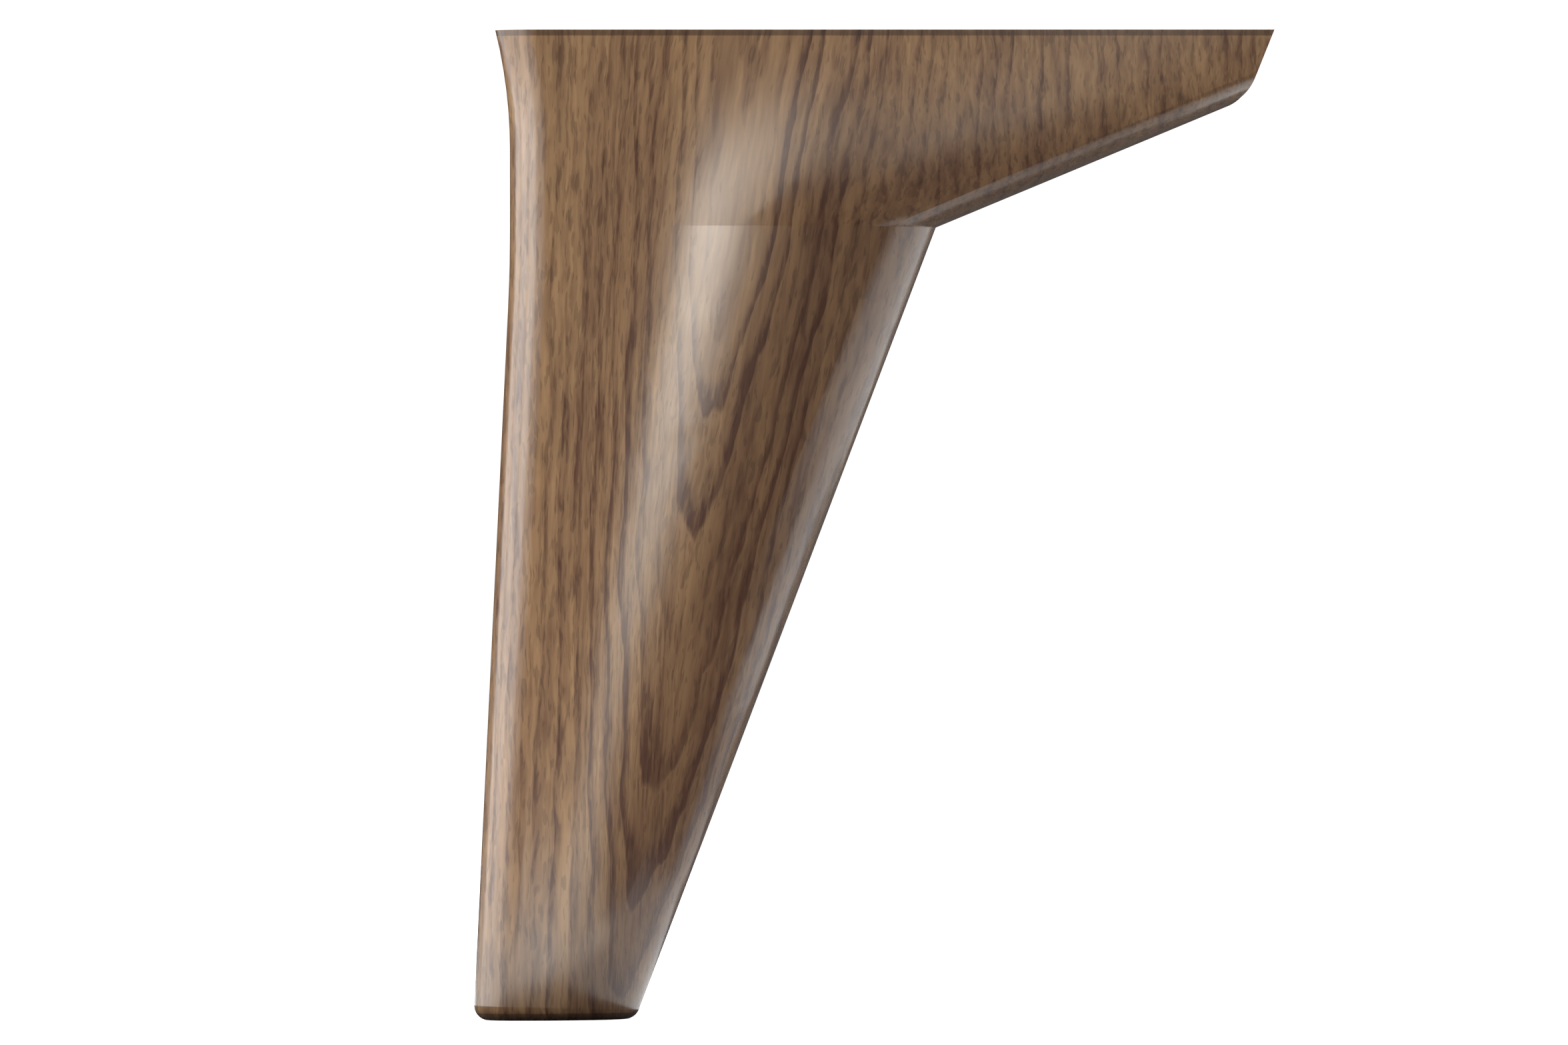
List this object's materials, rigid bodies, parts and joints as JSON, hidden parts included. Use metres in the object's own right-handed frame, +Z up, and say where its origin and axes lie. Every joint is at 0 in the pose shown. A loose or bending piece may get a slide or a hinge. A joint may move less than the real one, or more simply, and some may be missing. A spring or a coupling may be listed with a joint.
{
  "type": "furniture leg",
  "caption": "Solid walnut furniture leg: a tapered column with a soft ridge on each side, and a wing at its top that runs inwards under the furniture.",
  "frame": {"origin": "middle of the flat top face, which goes against the furniture", "axes": "+Z up, square to the top face; +X from the outer end towards the wing's end; the leg is the same on both sides of Y = 0"},
  "size_m": [0.1211, 0.05, 0.15],
  "materials": {
    "walnut": "clear semi-gloss lacquer over straight-grained walnut"
  },
  "bodies": {
    "root": {"leg": "walnut"}
  },
  "joints": []
}
